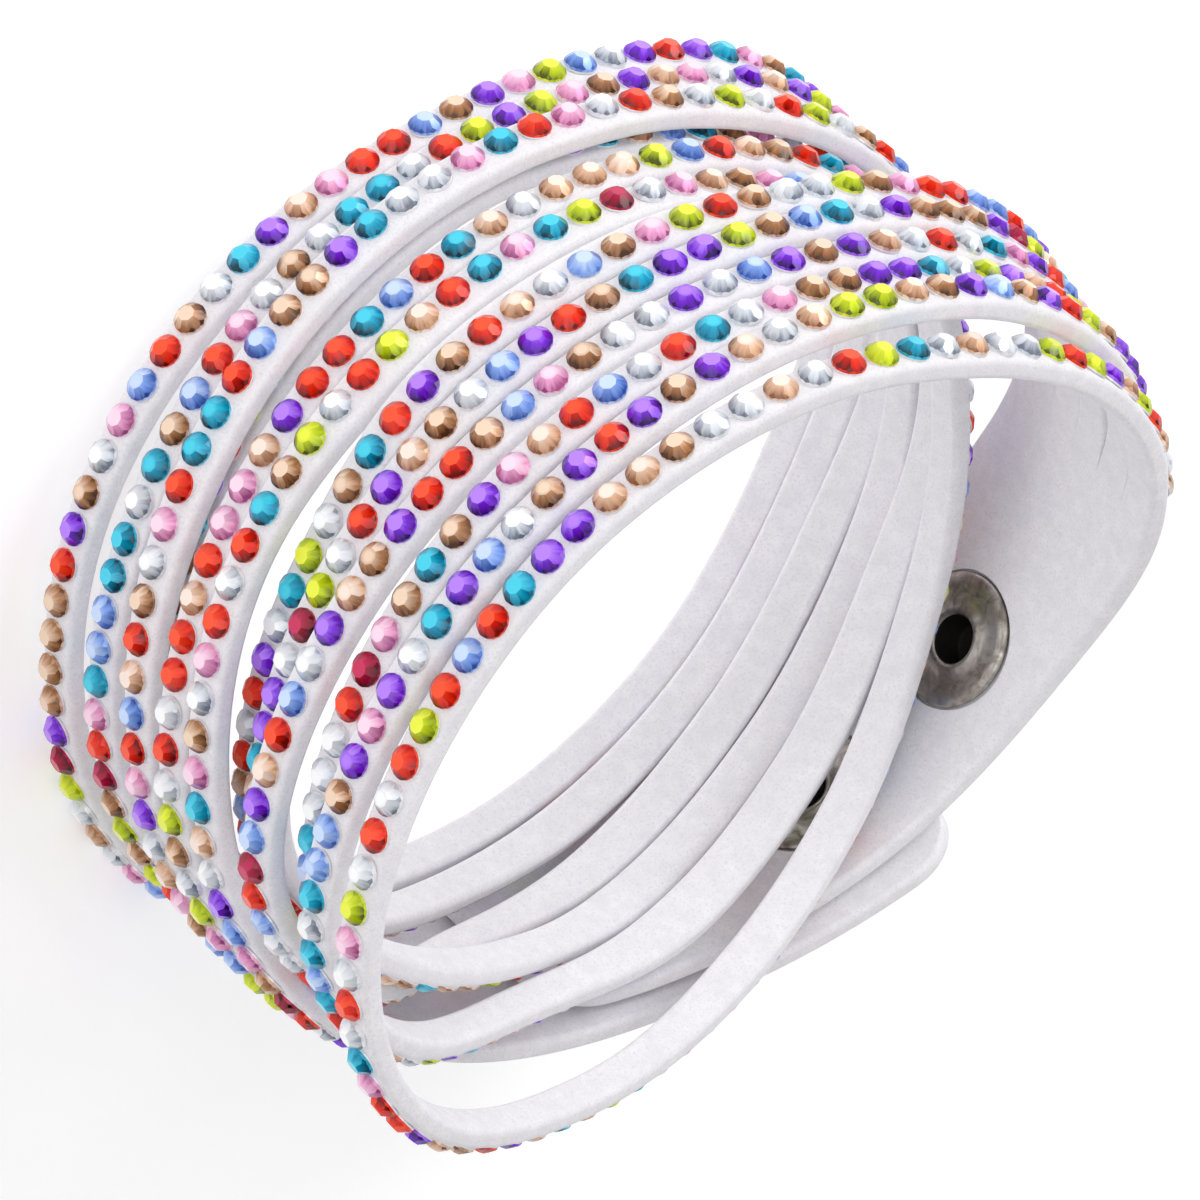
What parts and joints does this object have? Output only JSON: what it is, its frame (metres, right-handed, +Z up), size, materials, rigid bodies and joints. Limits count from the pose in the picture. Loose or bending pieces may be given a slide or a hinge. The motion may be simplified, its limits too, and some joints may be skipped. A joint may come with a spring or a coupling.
{
  "type": "double wrap bracelet with stone rows",
  "caption": "Soft wrap bracelet: a suede band slit into strips, each with a row of small cut stones, wound twice round the wrist and closed with snaps.",
  "frame": {"origin": "on the surface that the bracelet rests on, under the middle of its outline", "axes": "+Z up, +X along the long axis of the oval; the bracelet lies on its side, so its wrist opening runs up and leans about ten degrees"},
  "size_m": [0.0668, 0.0598, 0.0393],
  "materials": {
    "suede": "matt white imitation suede with a short nap and plain cut edges",
    "cut_glass": "foil-backed cut glass in mixed colours",
    "snap_metal": "tarnished nickel plate"
  },
  "bodies": {
    "root": {"suede_band": "suede", "stones_strip_1": "cut_glass", "stones_strip_6": "cut_glass", "snap_stud_open": "snap_metal", "snap_stud_closed": "snap_metal", "snap_socket": "snap_metal"}
  },
  "joints": []
}
